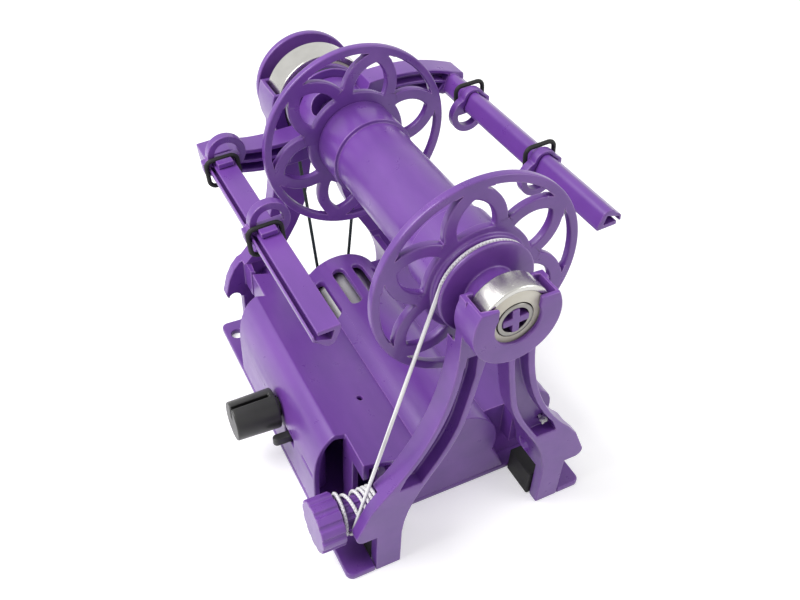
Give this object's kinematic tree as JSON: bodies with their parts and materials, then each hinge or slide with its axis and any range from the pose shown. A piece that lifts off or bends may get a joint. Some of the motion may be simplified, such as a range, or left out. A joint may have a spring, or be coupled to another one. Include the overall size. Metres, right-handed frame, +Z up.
{
  "type": "electric spinning wheel",
  "caption": "Small motor-driven spinning wheel: a flyer with sliding hooks and a cord-braked bobbin turn between two uprights on a base that houses motor and controls.",
  "frame": {"origin": "on the table under the spin axis, halfway along the base plate", "axes": "+Z up, +Y along the spin axis towards the orifice end, +X to the right seen from the brake end"},
  "size_m": [0.1113, 0.1459, 0.1329],
  "materials": {
    "violet_plastic": "satin moulded plastic",
    "bearing_steel": "ground and polished",
    "bearing_shield": "cream seal",
    "black_rubber": "matt",
    "motor_can": "plated",
    "pulley_metal": "turned",
    "elastic_band": "smooth",
    "white_cord": "braided",
    "black_plastic": "fine texture",
    "board": "lacquered",
    "screw_steel": "plated"
  },
  "bodies": {
    "base": {"base_plate": "violet_plastic", "base_shell": "violet_plastic", "near_maiden": "violet_plastic", "far_maiden": "violet_plastic", "near_bearing_outer_ring": "bearing_steel", "near_bearing_balls": "bearing_steel", "near_bearing_shields": "bearing_shield", "far_bearing_outer_ring": "bearing_steel", "far_bearing_balls": "bearing_steel", "far_bearing_shields": "bearing_shield", "motor": "motor_can", "drive_band": "elastic_band", "brake_cord": "white_cord", "potentiometer": "motor_can", "switch_body": "black_plastic", "control_board": "board", "power_inlet": "black_plastic", "rubber_feet": "black_rubber", "base_screws": "screw_steel", "maiden_screws": "screw_steel", "motor_screws": "screw_steel"},
    "flyer": {"flyer": "violet_plastic", "flyer_spindle": "violet_plastic", "drive_whorl": "violet_plastic", "orifice_tube": "violet_plastic", "near_bearing_inner_ring": "bearing_steel", "far_bearing_inner_ring": "bearing_steel"},
    "bobbin": {"bobbin_tube": "violet_plastic", "brake_flange": "violet_plastic", "far_flange": "violet_plastic"},
    "motor_rotor": {"motor_shaft": "bearing_steel", "motor_pulley": "pulley_metal"},
    "hook_1": {"sliding_hook_1": "violet_plastic", "hook_o_ring_1": "black_rubber"},
    "hook_2": {"sliding_hook_2": "violet_plastic", "hook_o_ring_2": "black_rubber"},
    "hook_3": {"sliding_hook_3": "violet_plastic", "hook_o_ring_3": "black_rubber"},
    "hook_4": {"sliding_hook_4": "violet_plastic", "hook_o_ring_4": "black_rubber"},
    "tension_peg": {"tension_peg": "violet_plastic"},
    "speed_control": {"speed_knob": "black_plastic", "potentiometer_shaft": "bearing_steel"},
    "direction_switch": {"switch_slider": "black_plastic"}
  },
  "joints": [
    {"name": "flyer_spin", "type": "hinge", "parent": "base", "child": "flyer", "pos_m": [0, 0, 0.1005], "axis": [0, 1, 0], "continuous": true},
    {"name": "bobbin_spin", "type": "hinge", "parent": "flyer", "child": "bobbin", "pos_m": [0, -0.0105, 0.1005], "axis": [0, 1, 0], "continuous": true},
    {"name": "motor_spin", "type": "hinge", "parent": "base", "child": "motor_rotor", "pos_m": [0.0012, 0.04, 0.0195], "axis": [0, 1, 0], "continuous": true},
    {"name": "hook_1_slide", "type": "slide", "parent": "flyer", "child": "hook_1", "axis": [0, 1, 0], "range_m": [-0.022, 0.0008]},
    {"name": "hook_2_slide", "type": "slide", "parent": "flyer", "child": "hook_2", "axis": [0, 1, 0], "range_m": [-0.042, 0.008]},
    {"name": "hook_3_slide", "type": "slide", "parent": "flyer", "child": "hook_3", "axis": [0, 1, 0], "range_m": [-0.018, 0.007]},
    {"name": "hook_4_slide", "type": "slide", "parent": "flyer", "child": "hook_4", "axis": [0, 1, 0], "range_m": [-0.031, 0.0168]},
    {"name": "tension_peg_turn", "type": "hinge", "parent": "base", "child": "tension_peg", "pos_m": [-0.035, -0.0535, 0.0195], "axis": [1, 0, 0], "continuous": true},
    {"name": "speed_knob_turn", "type": "hinge", "parent": "base", "child": "speed_control", "pos_m": [-0.05, -0.004, 0.0215], "axis": [1, 0, 0], "range_deg": [-150, 150]},
    {"name": "direction_switch_slide", "type": "slide", "parent": "base", "child": "direction_switch", "axis": [0, 1, 0], "range_m": [-0.002, 0.002]}
  ],
  "couplings": [
    {"joint": "motor_spin", "follows": "flyer_spin", "ratio": 2.2821}
  ]
}
